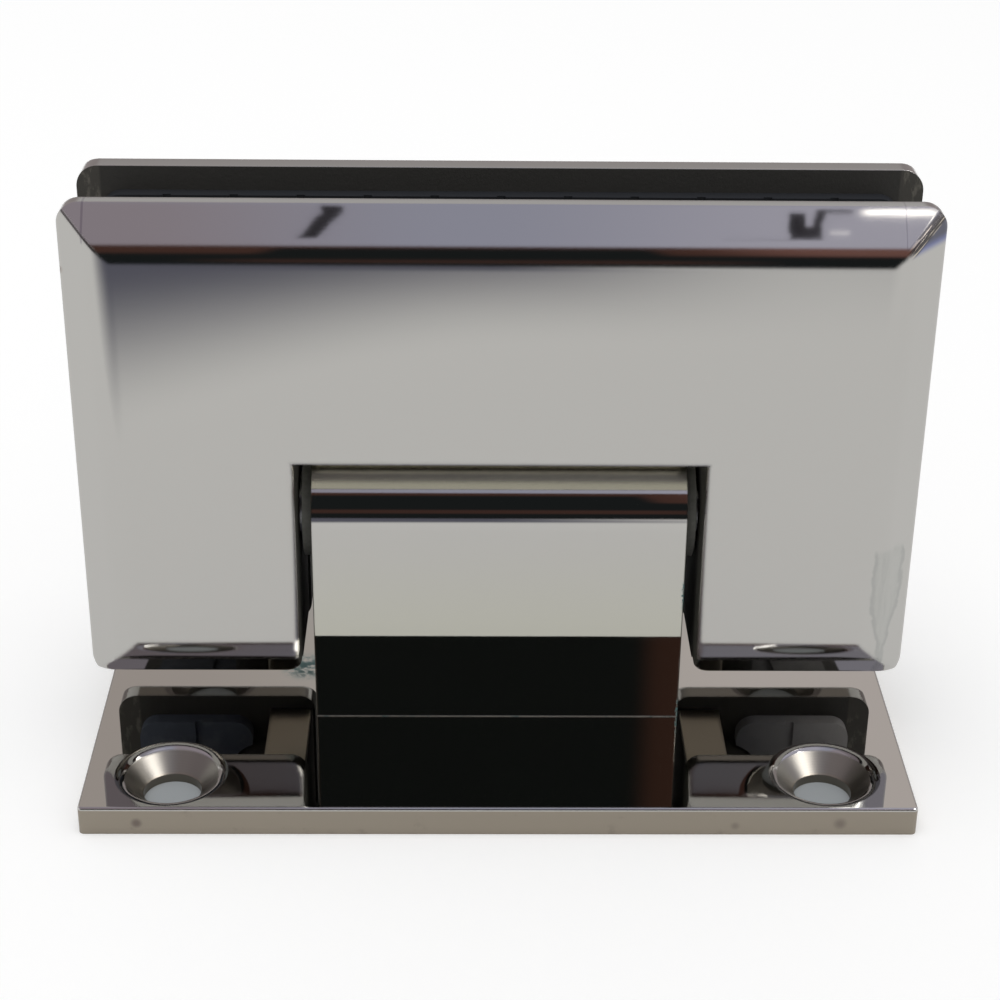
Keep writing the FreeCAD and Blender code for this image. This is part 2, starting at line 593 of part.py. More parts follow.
def boss_places():
    """Centres of the four clamp screws, as expressions for across and up."""
    return [(f"{side} * {BOSS_X}", height) for height in (BOSS_LOW, BOSS_HIGH) for side in (-1, 1)]


def make_clamp_front():
    """Front clamp plate: a frame round the notch that cradles the pin's tongues, and four bosses."""
    body = make_clamp_shell("clamp_front", 1, "Sizes.front_rim", NOTCH_HALF, "0")
    across = f"({HALF_GAP} + {BOSS_END})"
    frame = new_sketch(body, "frame_outline", "XZ_Plane", HALF_GAP)
    low = f"({CLAMP_LOW} + Sizes.rib_inset)"
    bridge = f"({NOTCH_TOP} + Sizes.bridge_height)"
    right = [(NOTCH_HALF, NOTCH_TOP), (NOTCH_HALF, low), (RIB_OUTER, low), (RIB_OUTER, BOSS_HIGH),
             (NOTCH_HALF, BOSS_HIGH), (NOTCH_HALF, bridge)]
    add_polygon(frame, right + [(f"-{side}", up) for side, up in reversed(right)])
    extrude(body, "Pad", "frame", frame, across, reverse=True)
    bosses = new_sketch(body, "boss_circles", "XZ_Plane", HALF_GAP)
    for place in boss_places():
        add_circle(bosses, *place, "Sizes.boss_radius")
    extrude(body, "Pad", "bosses", bosses, across, reverse=True)

    # The tongues slide in from behind, and the rear plate's keys close the cradles.
    cradles = new_sketch(body, "cradle_outline", "XZ_Plane", f"-{BOSS_END}")
    half = f"({TONGUE_HALF} + Sizes.screw_gap)"
    for near, far in ((f"{NOTCH_HALF} - {PAST}", f"{RIB_OUTER} + {PAST}"),
                      (f"-{RIB_OUTER} - {PAST}", f"-{NOTCH_HALF} + {PAST}")):
        add_rectangle(cradles, near, f"{PIVOT} - {half}", far, f"{PIVOT} + {half}")
    extrude(body, "Pocket", "cradles", cradles, f"{BOSS_END} + {PIN_RADIUS} + Sizes.screw_gap", reverse=True)
    threads = new_sketch(body, "thread_circles", "XZ_Plane", f"-{BOSS_END}")
    for place in boss_places():
        add_circle(threads, *place, "Sizes.clamp_screw_width / 2 + Sizes.screw_gap")
    depth = f"{BOSS_END} + {FRONT_FACE} - Sizes.front_wall"
    extrude(body, "Pocket", "threads", threads, depth, reverse=True)
    return body


def make_clamp_rear():
    """Rear clamp plate: keys that close the cradles, and four countersunk screw holes."""
    body = make_clamp_shell("clamp_rear", -1, "Sizes.rear_rim", REAR_NOTCH_HALF, "Sizes.rear_drop")
    keys = new_sketch(body, "key_outline", "XZ_Plane", f"-{HALF_GAP}")
    half = f"({TONGUE_HALF} - 3 * Sizes.screw_gap)"
    inset = "4 * Sizes.screw_gap"
    for near, far in ((f"{NOTCH_HALF} + {inset}", f"{RIB_OUTER} - {inset}"),
                      (f"-{RIB_OUTER} + {inset}", f"-{NOTCH_HALF} - {inset}")):
        add_rectangle(keys, near, f"{PIVOT} - {half}", far, f"{PIVOT} + {half}")
    extrude(body, "Pad", "keys", keys, f"{HALF_GAP} - {PIN_RADIUS} - Sizes.screw_gap")
    wide = "(Sizes.clamp_screw_width / 2 + Sizes.hole_gap)"
    holes = new_sketch(body, "clamp_hole_circles", "XZ_Plane", f"-{HALF_GAP}")
    for place in boss_places():
        add_circle(holes, *place, wide)
    extrude(body, "Pocket", "clamp_holes", holes, f"{REAR_THICKNESS} + {PAST}")
    bore_radius = size(wide)
    rear_face = size(REAR_FACE)
    finish_edges(body, "Chamfer", "clamp_sinks", lambda edge: is_circle(edge, "y", rear_face, bore_radius),
                 Size=f"Sizes.clamp_sink_width / 2 - {wide}")
    return body


def make_gasket(label, side, drop):
    """Gasket on the inner face of a clamp plate, cut away round the bosses and grooved."""
    body = new_body(label)
    half = "(Sizes.clamp_width / 2 - Sizes.gasket_margin)"
    low = f"({CLAMP_LOW} - {drop} + Sizes.gasket_margin)"
    high = f"({CLAMP_TOP} - {drop} - Sizes.gasket_margin)"
    cut = f"({RIB_OUTER} + Sizes.cutout_side)"
    cut_top = f"({BOSS_HIGH} + Sizes.boss_radius + Sizes.cutout_top)"
    glass_face = f"{side} * ({HALF_GAP} - Sizes.gasket_thickness)"
    outline = new_sketch(body, f"{label}_outline", "XZ_Plane", glass_face)
    add_polygon(outline, [(f"-{half}", low), (f"-{cut}", low), (f"-{cut}", cut_top), (cut, cut_top),
                          (cut, low), (half, low), (half, high), (f"-{half}", high)])
    extrude(body, "Pad", f"{label}_sheet", outline, "Sizes.gasket_thickness", reverse=side < 0)
    finish_edges(body, "Fillet", f"{label}_corners", lambda edge: runs_along(edge, "y"),
                 Radius="Sizes.gasket_corner")
    reliefs = new_sketch(body, f"{label}_relief_circles", "XZ_Plane", glass_face)
    for place in boss_places():
        add_circle(reliefs, *place, "Sizes.boss_radius + Sizes.gasket_relief")
    through = f"2 * (Sizes.gasket_thickness + {PAST})"
    extrude(body, "Pocket", f"{label}_reliefs", reliefs, through, symmetric=True)

    # Grooves across the glass side give the gasket its row of pads.
    count = 2 * int((size(half) - size("Sizes.groove_width")) / size("Sizes.groove_pitch")) + 1
    grooves = new_sketch(body, f"{label}_groove_outline", "XZ_Plane", glass_face)
    for step in range(count):
        middle = f"{step - count // 2} * Sizes.groove_pitch"
        add_rectangle(grooves, f"{middle} - Sizes.groove_width / 2", f"{low} - {PAST}",
                      f"{middle} + Sizes.groove_width / 2", f"{high} + {PAST}")
    extrude(body, "Pocket", f"{label}_grooves", grooves, "Sizes.groove_depth", reverse=side > 0)
    return body


def make_all():
    """Every sub-part, from the wall outwards."""
    make_wall_plate()
    make_pivot_block()
    make_block_screw("block_screw_left", -1)
    make_block_screw("block_screw_right", 1)
    make_bush("bush_left", -1)
    make_bush("bush_right", 1)
    for name, step in (("left", -1), ("middle", 0), ("right", 1)):
        make_spring(f"detent_spring_{name}", step)
    make_pressure_bar()
    make_pin()
    make_clamp_front()
    make_clamp_rear()
    make_gasket("gasket_front", 1, "0")
    make_gasket("gasket_rear", -1, "Sizes.rear_drop")
    for level, height in (("lower", BOSS_LOW), ("upper", BOSS_HIGH)):
        make_clamp_screw(f"clamp_screw_{level}_left", -1, height)
        make_clamp_screw(f"clamp_screw_{level}_right", 1, height)


make_all()
doc.recompute()
for item in doc.Objects:
    if "Invalid" in item.State or "Error" in item.State:
        raise RuntimeError(f"{item.Label} did not build: {item.State}")

pieces = [item for item in doc.Objects if item.TypeId in ("PartDesign::Body", "Part::Feature")]
for piece in pieces:
    if piece.Shape.isNull() or not piece.Shape.isValid() or len(piece.Shape.Solids) != 1:
        raise RuntimeError(f"{piece.Label} is not one sound solid")
for piece in pieces:
    piece.Shape.exportStep(f"parts/{piece.Label}.step")
    print(f"{piece.Label}: {piece.Shape.Volume:.1f} mm3")
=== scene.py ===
from functools import cached_property
import math

import bpy
import numpy as np
from mathutils import Matrix, Vector


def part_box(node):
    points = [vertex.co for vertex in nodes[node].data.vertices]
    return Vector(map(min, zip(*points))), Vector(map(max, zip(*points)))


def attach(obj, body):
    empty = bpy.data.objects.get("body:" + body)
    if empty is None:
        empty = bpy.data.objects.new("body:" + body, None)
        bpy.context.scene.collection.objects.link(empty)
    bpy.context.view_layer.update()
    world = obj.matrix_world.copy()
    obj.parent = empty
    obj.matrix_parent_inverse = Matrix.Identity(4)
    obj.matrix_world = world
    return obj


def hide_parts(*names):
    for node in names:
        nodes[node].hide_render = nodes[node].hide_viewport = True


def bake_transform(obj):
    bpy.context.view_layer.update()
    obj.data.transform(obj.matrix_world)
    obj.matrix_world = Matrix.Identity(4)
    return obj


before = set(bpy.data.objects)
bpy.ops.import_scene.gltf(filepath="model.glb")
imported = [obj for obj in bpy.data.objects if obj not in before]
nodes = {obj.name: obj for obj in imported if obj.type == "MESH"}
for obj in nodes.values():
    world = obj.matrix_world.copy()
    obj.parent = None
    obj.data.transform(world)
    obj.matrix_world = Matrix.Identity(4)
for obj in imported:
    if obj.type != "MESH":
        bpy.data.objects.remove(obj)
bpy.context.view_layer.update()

# Wall plate
# The wall plate is a flat bar of chromed brass that wall screws hold through four countersunk
# holes. Its faces are buffed to a mirror, its sawn edges are only brushed, and the countersinks
# still show the rings of the cutter under a polished mouth.


class Signal:
    """A socket in a finish's node tree. Sums, products and shares of it add Math nodes."""

    def __init__(self, finish, socket):
        self.finish = finish
        self.socket = socket

    def math(self, operation, *values):
        return self.finish.node("Math", {"operation": operation}, dict(enumerate(values)))

    def __add__(self, other):
        return self.math("ADD", self, other)

    def __radd__(self, other):
        return self.math("ADD", other, self)

    def __sub__(self, other):
        return self.math("SUBTRACT", self, other)

    def __rsub__(self, other):
        return self.math("SUBTRACT", other, self)

    def __mul__(self, other):
        return self.math("MULTIPLY", self, other)

    def __rmul__(self, other):
        return self.math("MULTIPLY", other, self)

    def __truediv__(self, other):
        return self.math("DIVIDE", self, other)

    def __rtruediv__(self, other):
        return self.math("DIVIDE", other, self)

    def __abs__(self):
        return self.math("ABSOLUTE", self)

    def either(self, other):
        """The larger of two masks."""
        return self.math("MAXIMUM", self, other)

    def wave(self, pitch):
        """Runs from -1 to 1 and back once in every pitch of the signal."""
        return self.math("SINE", self * (2 * math.pi / pitch))

    def ramp(self, low, high, start=0.0, end=1.0):
        """Runs smoothly from start, where the signal is low, to end, where it is high."""
        settings = {"interpolation_type": "SMOOTHSTEP"}
        return self.finish.node("MapRange", settings, {0: self, 1: low, 2: high, 3: start, 4: end})

    def band(self, low, high, soft):
        """Mask that is 1 between low and high, with soft borders outside them."""
        return self.ramp(low - soft, low) * self.ramp(high, high + soft, 1.0, 0.0)


class Finish:
    """A material or world being built from nodes, which it adds one by one."""

    def __init__(self, name, kind=bpy.data.materials):
        self.made = kind.new(name)
        self.made.use_nodes = True
        self.tree = self.made.node_tree
        self.tree.nodes.clear()

    @cached_property
    def place(self):
        """The point on the piece, in metres."""
        return self.node("TexCoord", output="Object")

    @cached_property
    def x(self):
        return self.node("SeparateXYZ", {}, {0: self.place}, "X")

    @cached_property
    def y(self):
        return self.node("SeparateXYZ", {}, {0: self.place}, "Y")

    @cached_property
    def z(self):
        return self.node("SeparateXYZ", {}, {0: self.place}, "Z")

    def node(self, kind, settings=None, values=None, output=0):
        """Adds a node, sets its settings, fills its sockets and gives one output."""
        made = self.tree.nodes.new("ShaderNode" + kind)
        for name, value in (settings or {}).items():
            setattr(made, name, value)
        for name, value in (values or {}).items():
            socket = made.inputs[name]
            if isinstance(value, Signal):
                self.tree.links.new(value.socket, socket)
            elif socket.type == "RGBA":
                socket.default_value = (*value, 1)
            else:
                socket.default_value = value
        return Signal(self, made.outputs[output] if made.outputs else None)

    def mixed(self, mask, plain, marked):
        """Colour that goes from plain to marked with the mask."""
        return self.node("Mix", {"data_type": "RGBA"}, {0: mask, 6: plain, 7: marked}, 2)

    def noise(self, grains, detail=3.0, rough=0.5, stretch=(1, 1, 1)):
        """Cloudy value from 0 to 1 with this many grains to the metre, drawn out by the stretch."""
        where = self.node("VectorMath", {"operation": "MULTIPLY"}, {0: self.place, 1: stretch})
        values = {"Vector": where, "Scale": grains, "Detail": detail, "Roughness": rough}
        return self.node("TexNoise", {}, values)

    def near(self, centre, reach, soft=0.5):
        """Mask that is 1 up to soft times reach from a point, and 0 from reach on."""
        apart = self.node("VectorMath", {"operation": "DISTANCE"}, {0: self.place, 1: centre}, "Value")
        return apart.ramp(reach * soft, reach, 1.0, 0.0)

    def streak(self, start, end, width):
        """Mask along the straight line between two points, fading out at this width from it."""
        middle = (Vector(start) + Vector(end)) / 2
        along = (Vector(end) - Vector(start)) / 2
        apart = self.node("VectorMath", {"operation": "SUBTRACT"}, {0: self.place, 1: middle})
        length = along.length
        run = self.node("VectorMath", {"operation": "DOT_PRODUCT"}, {0: apart, 1: along / length}, "Value")
        whole = self.node("VectorMath", {"operation": "LENGTH"}, {0: apart}, "Value")
        off = (whole * whole - run * run).math("ABSOLUTE").math("SQRT")
        return off.ramp(0.0, width, 1.0, 0.0) * abs(run).ramp(length * 0.6, length, 1.0, 0.0)

    def close(self, shader, output="OutputMaterial"):
        """Joins the shader to the output and gives the material or world."""
        self.node(output, {}, {"Surface": shader})
        return self.made


CHROME = (0.443, 0.434, 0.414)
BRUSHED_EDGE = (0.275, 0.244, 0.20)
SATIN = (0.19, 0.178, 0.155)
PASTE = (0.13, 0.25, 0.25)


def chromed(finish, color, rough, height, depth=1e-6, edge=0.00025):
    """Chrome shader: the height, times its depth in metres, lies over edges that are worn round."""
    edge_rounding_and_painted_light = finish.node("Bevel", {"samples": 3}, {"Radius": edge})
    normal = finish.node("Bump", {}, {"Height": height, "Distance": depth, "Normal": edge_rounding_and_painted_light})
    values = {"Base Color": color, "Metallic": 1.0, "Roughness": rough, "Normal": normal}
    return finish.node("BsdfPrincipled", {}, values)


def dull(finish, color, grain, depth=2e-5):
    """Shader of an unpolished or soft skin, with a fine grain this many metres deep."""
    skin = finish.node("Bump", {}, {"Height": grain, "Distance": depth})
    values = {"Base Color": color, "Roughness": 0.75, "Specular IOR Level": 0.15, "Normal": skin}
    return finish.node("BsdfPrincipled", {}, values)


def buffed(finish):
    """Height of a buffed face: slow waves of the wheel with hairlines along X, about 1 deep."""
    return finish.noise(130, 2.0) * 1.6 + finish.noise(900, 4.0, 0.6, (0.12, 1, 1)) * 0.25


def dress(name, material):
    """Gives a CAD node its finish."""
    slots = nodes[name].data.materials
    slots.clear()
    slots.append(material)


plate_low, plate_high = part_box("wall_plate")
HOLE_X, HOLE_Y = 0.03545, 0.0184
MOUTH_RADIUS = 0.0061
CONE_RADIUS = 0.0050
BORE_RADIUS = 0.00315

plate_finish = Finish("chrome_wall_plate")
to_hole = {0: abs(plate_finish.x) - HOLE_X, 1: abs(plate_finish.y) - HOLE_Y}
hole_offset = plate_finish.node("CombineXYZ", {}, to_hole)
from_hole = plate_finish.node("VectorMath", {"operation": "LENGTH"}, {0: hole_offset}, "Value")
cone = from_hole.ramp(CONE_RADIUS, CONE_RADIUS + 0.0002, 1.0, 0.0)
bore = from_hole.ramp(BORE_RADIUS + 0.0001, BORE_RADIUS + 0.0002, 1.0, 0.0)
on_edge = plate_finish.z.ramp(plate_high.z - 0.0004, plate_high.z - 0.0003, 1.0, 0.0)
on_edge = on_edge * from_hole.ramp(MOUTH_RADIUS, MOUTH_RADIUS + 0.0001)
behind = plate_finish.z.ramp(plate_low.z + 0.00005, plate_low.z + 0.0001, 1.0, 0.0)
stain = plate_finish.noise(260, 4.0, 0.65).ramp(0.60, 0.72)
spot = plate_finish.near((-0.0385, -0.025, 0.0014), 0.0008, 0.2) * 0.8
spot = spot.either(plate_finish.near((0.0364, -0.025, 0.0014), 0.0010, 0.1) * 0.6)
spot = spot.either(plate_finish.near((0.0252, -0.025, 0.0011), 0.0007, 0.1) * 0.45)
paste = plate_finish.near((-0.0222, 0.0035, plate_high.z), 0.0036, 0.2)
paste = paste * plate_finish.noise(1300, 4.0, 0.65).ramp(0.30, 0.60) * 0.9
scratch = plate_finish.streak((0.0222, 0.0012, plate_high.z), (0.0256, -0.0022, plate_high.z), 0.00012)
smear = plate_finish.streak((-0.0158, -0.0125, plate_high.z), (-0.0132, -0.0228, plate_high.z), 0.0011)
right_smear = plate_finish.streak((0.0120, -0.0112, plate_high.z), (0.0127, -0.0228, plate_high.z), 0.0011)
smear = smear.either(right_smear)
color = plate_finish.mixed(on_edge, CHROME, BRUSHED_EDGE)
color = plate_finish.mixed(cone, color, SATIN)
color = plate_finish.mixed(bore, color, (0.20, 0.18, 0.15))
color = plate_finish.mixed((stain * 0.25).either(spot) * on_edge, color, (0.13, 0.105, 0.095))
color = plate_finish.mixed(paste, color, PASTE)
color = plate_finish.mixed(scratch * 0.5, color, (0.16, 0.14, 0.13))
rough = (plate_finish.noise(90, 3.0) * 0.03 + 0.012).either(on_edge * 0.33).either(cone * 0.34)
rough = rough.either(behind * 0.4).either(paste * 0.7).either(smear * 0.22)
brush = plate_finish.noise(1500, 3.0, 0.6, (0.04, 1, 3)) * on_edge * 3
rings = from_hole.wave(0.00021) * cone + plate_finish.noise(700, 2.0) * cone * 1.5
height = buffed(plate_finish) * (1 - cone) + brush + rings
dress("wall_plate", plate_finish.close(chromed(plate_finish, color, rough, height, edge=0.00012)))

# Pivot block
# The block is one piece of chromed brass with a full-round top, standing on the plate over two
# screws from behind. Its ends, which face the clamp, are left unpolished, and a little green
# polishing paste is left at its foot and on its edges.

block_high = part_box("pivot_block")[1]
UNPOLISHED = (0.045, 0.044, 0.036)

block_finish = Finish("chrome_pivot_block")
seam = block_finish.z.ramp(plate_high.z, plate_high.z + 0.00022, 1.0, 0.0)
crumbs = block_finish.noise(1500, 3.0, 0.6).ramp(0.50, 0.62) * block_finish.noise(330, 2.0).ramp(0.40, 0.6)
edge_paste = block_finish.near((0.0204, -0.0071, 0.0192), 0.0022, 0.3)
edge_paste = edge_paste.either(block_finish.near((0.0204, -0.0071, 0.0044), 0.0016, 0.3))
edge_paste = edge_paste * abs(block_finish.x).ramp(0.0200, 0.0203)
edge_paste = edge_paste * block_finish.noise(2400, 3.0, 0.6).ramp(0.45, 0.55)
# The polished chrome is a little yellower towards the block's foot.
yellower_low = block_finish.z.ramp(0.012, 0.028, 1.0, 0.0)
end = abs(block_finish.x).ramp(block_high.x - 0.0001, block_high.x - 0.00004)
color = block_finish.mixed(yellower_low, CHROME, (0.455, 0.45, 0.395))
color = block_finish.mixed((seam * (crumbs * 0.8 + 0.03)).either(edge_paste), color, PASTE)
rough = (block_finish.noise(110, 3.0) * 0.03 + 0.012).either(seam * 0.5).either(edge_paste * 0.7)
polished = chromed(block_finish, color, rough, buffed(block_finish))
sawn = block_finish.noise(1800, 4.0, 0.7)
sawn_tone = block_finish.mixed(sawn, UNPOLISHED, (0.075, 0.07, 0.058))
sawn_tone = block_finish.mixed(edge_paste, sawn_tone, PASTE)
ends = dull(block_finish, sawn_tone, sawn)
whole = block_finish.node("MixShader", {}, {0: end, 1: polished, 2: ends})
dress("pivot_block", block_finish.close(whole))

# Bushes
# Each end of the bore holds a flanged bush of dark plastic, moulded with a dull skin, whose
# flange runs against the clamp.

bush_finish = Finish("bush_plastic")
speck = bush_finish.noise(1800, 4.0)
tone = bush_finish.mixed(speck, (0.13, 0.13, 0.115), (0.24, 0.24, 0.22))
bush_material = bush_finish.close(dull(bush_finish, tone, speck))
dress("bush_left", bush_material)
dress("bush_right", bush_material)

# Pin and pressure bar
# The pin and the bar that springs press against its flats are ground steel, with grinding marks
# along the pin and a faint oily bloom.


def steel(name, color, rough, grains, stretch):
    """Ground or drawn steel, with its marks drawn out by the stretch."""
    finish = Finish(name)
    grind = finish.noise(grains, 3.0, 0.6, stretch)
    bloom = finish.noise(240, 4.0)
    darker = tuple(part * 0.72 for part in color)
    tone = finish.mixed(bloom.ramp(0.4, 0.7), color, darker)
    return finish.close(chromed(finish, tone, grind * 0.12 + rough, grind, 4e-6, 0.00012))


ground_steel = steel("ground_steel", (0.46, 0.46, 0.47), 0.16, 1600, (0.05, 1, 1))
dress("pivot_pin", ground_steel)
dress("pressure_bar", ground_steel)

# Detent springs
# Three compression springs stand in the block under the bar. Each is coiled from round drawn
# wire, with its end turns closed and ground flat.

WIRE_RADIUS = 0.00045
COIL_RADIUS = 0.00215
TURNS = 5.5
CLOSED_TURNS = 0.75


def skin(name, rings, material, slot, sharp=40):
    """Closed skin over rings of points (ring, around, xyz), each end drawn in to one point."""
    count, around = rings.shape[:2]
    points = np.concatenate([rings.reshape(-1, 3), rings[:1].mean(1), rings[-1:].mean(1)])
    index = np.arange(count * around).reshape(count, around)
    turned = np.roll(index, -1, 1)
    sides = np.stack([index[:-1], turned[:-1], turned[1:], index[1:]], -1).reshape(-1, 4)
    start = np.stack([turned[0], index[0], np.full(around, count * around)], -1)
    end = np.stack([index[-1], turned[-1], np.full(around, count * around + 1)], -1)
    mesh = bpy.data.meshes.new(name)
    mesh.from_pydata(points.tolist(), [], sides.tolist() + start.tolist() + end.tolist())
    mesh.polygons.foreach_set("use_smooth", np.ones(len(mesh.polygons), bool))
    mesh.set_sharp_from_angle(angle=math.radians(sharp))
    mesh.materials.append(material)
    piece = bpy.data.objects.new(name, mesh)
    bpy.context.scene.collection.objects.link(piece)
    return piece


def coil(middle, low, high):
    """Round wire along a helix: height follows the turn, level over the closed turns at each end,
    and whatever stands past the two ends is ground off flat."""
    share = np.linspace(0, 1, 241)
    closed = CLOSED_TURNS / TURNS
    slope = np.clip((share - closed) / 0.05, 0, 1) * np.clip((1 - closed - share) / 0.05, 0, 1)
    climb = np.cumsum(slope) / slope.sum()
    height = low + 0.6 * WIRE_RADIUS + (high - low - 1.2 * WIRE_RADIUS) * climb
    turn = 2 * math.pi * TURNS * share[:, None]
    round_wire = np.linspace(0, 2 * math.pi, 20, endpoint=False)[None, :]
    reach = COIL_RADIUS + WIRE_RADIUS * np.cos(round_wire)
    up = np.clip(height[:, None] + WIRE_RADIUS * np.sin(round_wire), low, high)
    return np.stack([middle + reach * np.cos(turn), reach * np.sin(turn), up], -1)[:, ::-1]


spring_steel = steel("spring_steel", (0.33, 0.33, 0.34), 0.22, 2200, (1, 1, 1))
for place in ("left", "middle", "right"):
    spring_low, spring_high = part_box(f"detent_spring_{place}")
    rings = coil((spring_low.x + spring_high.x) / 2, spring_low.z, spring_high.z)
    spring = skin(f"round_spring_{place}", rings, spring_steel, "spring_steel")
    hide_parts(f"detent_spring_{place}")
    spring_low.z
    spring_high.z
    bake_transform(spring)

# Machine screws
# Two countersunk socket screws come through the wall plate into the block, and four through the
# rear clamp plate into the bosses of the front one. They are turned from plain steel with rolled
# threads.


def screw(head_radius, shank_radius, length, flats, pitch):
    """Rings of a screw whose head is at the origin and whose tip points along -Z. A ring's radius
    goes from the socket's hexagon, across the head, down its cone and along the shank, where the
    thread takes away a share that follows a sharpened wave of height over pitch less the turn."""
    angle = np.linspace(0, 2 * math.pi, 60, endpoint=False)
    sixth = math.pi / 3
    hexagon = (flats / 2) / np.cos((angle + sixth / 2) % sixth - sixth / 2)
    neck = head_radius - shank_radius
    depth = 0.65 * flats
    rim = 0.04 * head_radius
    inner = [(0.05 * flats, -depth - 0.15 * flats, 0), (0.48 * flats, -depth, 0)]
    walls = [(1.0, -depth, 1), (1.0, -0.06 * flats, 1), (0.62 * flats, 0.0, 0)]
    outer = [
        (head_radius - 2 * rim, 0.0, 0),
        (head_radius - 0.6 * rim, -0.35 * rim, 0),
        (head_radius, -1.2 * rim, 0),
        (shank_radius, -neck, 0),
    ]
    rings = []
    for radius, height, six in inner + walls + outer:
        reach = hexagon * radius if six else np.full_like(angle, radius)
        level = np.full_like(angle, height)
        rings.append(np.stack([reach * np.cos(angle), reach * np.sin(angle), level], -1))
    drop = np.linspace(neck, length, int((length - neck) / pitch * 9))[1:, None]
    wave = 0.5 + 0.5 * np.cos(2 * math.pi * drop / pitch - angle[None, :])
    run = np.clip((drop - neck) / pitch, 0, 1) * np.clip((length - drop) / pitch, 0, 1)
    point = np.clip((drop - length + shank_radius * 0.3) / (shank_radius * 0.3), 0, 1)
    reach = (shank_radius - 0.30 * pitch * wave ** 0.8 * run) * (1 - 0.25 * point)
    shank = np.stack([reach * np.cos(angle), reach * np.sin(angle), -drop + 0 * angle], -1)
    return np.concatenate([np.array(rings), shank])[:, ::-1]


screw_steel = steel("screw_steel", (0.38, 0.37, 0.36), 0.2, 1800, (1, 1, 1))
BLOCK_SCREW = screw(0.0038, 0.0020, 0.012, 0.0025, 0.0007)
CLAMP_SCREW = screw(0.0046, 0.0025, 0.016, 0.0030, 0.0008)
for place in ("left", "right"):
    screw_low, screw_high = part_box(f"block_screw_{place}")
    head = np.array([(screw_low.x + screw_high.x) / 2, 0.0, screw_low.z])
    standing = BLOCK_SCREW * (1, -1, -1) + head
    piece = skin(f"threaded_block_screw_{place}", standing, screw_steel, "screw_steel", 20)
    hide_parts(f"block_screw_{place}")
    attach(piece, "wall")
    for level in ("lower", "upper"):
        screw_low, screw_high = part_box(f"clamp_screw_{level}_{place}")
        middle = (screw_low + screw_high) / 2
        head = np.array([middle.x, screw_high.y, middle.z])
        lying = CLAMP_SCREW[..., [0, 2, 1]] * (-1, 1, 1) + head
        piece = skin(f"threaded_clamp_screw_{level}_{place}", lying, screw_steel, "screw_steel", 20)
        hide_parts(f"clamp_screw_{level}_{place}")
        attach(piece, "door")

# Clamp plates
# Two cast and chromed brass plates grip the glass. Outside they are buffed to a mirror, with a
# few scratches and smears. Inside and in the notch they are left as cast, with a sandy skin, but
# the notch's top and the front plate's ribs are filed to fit.

clamp_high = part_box("clamp_front")[1]
INNER_FACE = 0.0057
NOTCH_HALF = 0.0218
NOTCH_TOP = 0.0364
RIB_TOP = 0.0434
SIDE_BEVEL = 0.0421
# Painted shade: the cast skin is near black, a dull cast tone darkened further for the shadowed gap
# between the plates.
AS_CAST_AND_SHADE = (0.050, 0.048, 0.044)
SANDY = (0.15, 0.14, 0.12)
FILED = (0.66, 0.64, 0.53)
FILED_RIB = (0.58, 0.53, 0.44)


def clamp_chrome(name):
    """Gives a clamp plate's finish, its masks of what is cast, of the notch's walls and of the
    notch's filed crown, and its roughness."""
    finish = Finish(name)
    inside = abs(finish.y).ramp(INNER_FACE + 0.00001, INNER_FACE + 0.00006, 1.0, 0.0)
    notch = abs(finish.x).ramp(NOTCH_HALF + 0.0001, NOTCH_HALF + 0.0003, 1.0, 0.0)
    notch = notch * finish.z.ramp(NOTCH_TOP + 0.0001, NOTCH_TOP + 0.0003, 1.0, 0.0)
    notch = notch * abs(finish.y).ramp(0.0096, 0.0100, 1.0, 0.0)
    crown = finish.z.band(NOTCH_TOP - 0.0001, NOTCH_TOP + 0.0001, 0.0001)
    crown = crown * abs(finish.x).ramp(NOTCH_HALF - 0.0002, NOTCH_HALF, 1.0, 0.0)
    rough = (finish.noise(80, 3.0) * 0.03 + 0.012).either(crown * 0.22)
    cast = inside.either(notch) * (1 - crown)
    return finish, cast, notch * (1 - inside), crown, rough


def cast_skin(finish, notch):
    """Dull shader of the cast skin, sandy past the gasket's ends."""
    sand = finish.noise(2400, 5.0, 0.7)
    past = abs(finish.x).ramp(0.0423, 0.0426)
    rub = finish.noise(900, 4.0, 0.7, (1, 1, 0.4)).ramp(0.52, 0.66)
    # Painted shade: the cast skin's near-black tone stands for the shadow between the plates.
    tone = finish.mixed(past * (rub * 0.7 + 0.3), AS_CAST_AND_SHADE, SANDY)
    tone = finish.mixed(notch, tone, UNPOLISHED)
    return dull(finish, tone, sand, 6e-5)


front_finish, cast, notch, crown, rough = clamp_chrome("chrome_clamp_front")
x, y, z = front_finish.x, front_finish.y, front_finish.z
ribs = abs(x).band(0.0221, 0.0268, 0.0002) * z.ramp(RIB_TOP - 0.0002, RIB_TOP + 0.0002, 1.0, 0.0)
ribs = ribs * abs(y).ramp(INNER_FACE + 0.00001, INNER_FACE + 0.00006, 1.0, 0.0)
cast = cast * (1 - ribs)
grains = front_finish.noise(1400, 3.0, 0.6)
ragged = front_finish.noise(420, 5.0, 0.7) * 0.0016 - 0.0008
half_smear = z.ramp(0.0120, 0.0215, 0.0004, 0.0019)
in_smear = half_smear - abs(x + ragged - SIDE_BEVEL)
smear = in_smear.ramp(-0.0001, 0.0002) * (z + ragged * 2).ramp(0.0256, 0.0268, 1.0, 0.0)
streaks = front_finish.noise(800, 4.0, 0.7, (1, 1, 0.2)).ramp(0.45, 0.62)
rim_of_smear = smear * in_smear.ramp(0.0003, 0.0007, 1.0, 0.0).either(streaks * 0.5)
mitre = clamp_high.z - clamp_high.x
from_mitre = x - z + mitre
along_mitre = front_finish.node("CombineXYZ", {}, {0: from_mitre * 3600, 1: (x + z) * 260, 2: 0.0})
grooves = front_finish.node("TexNoise", {}, {"Vector": along_mitre, "Scale": 1.0, "Detail": 2.0})
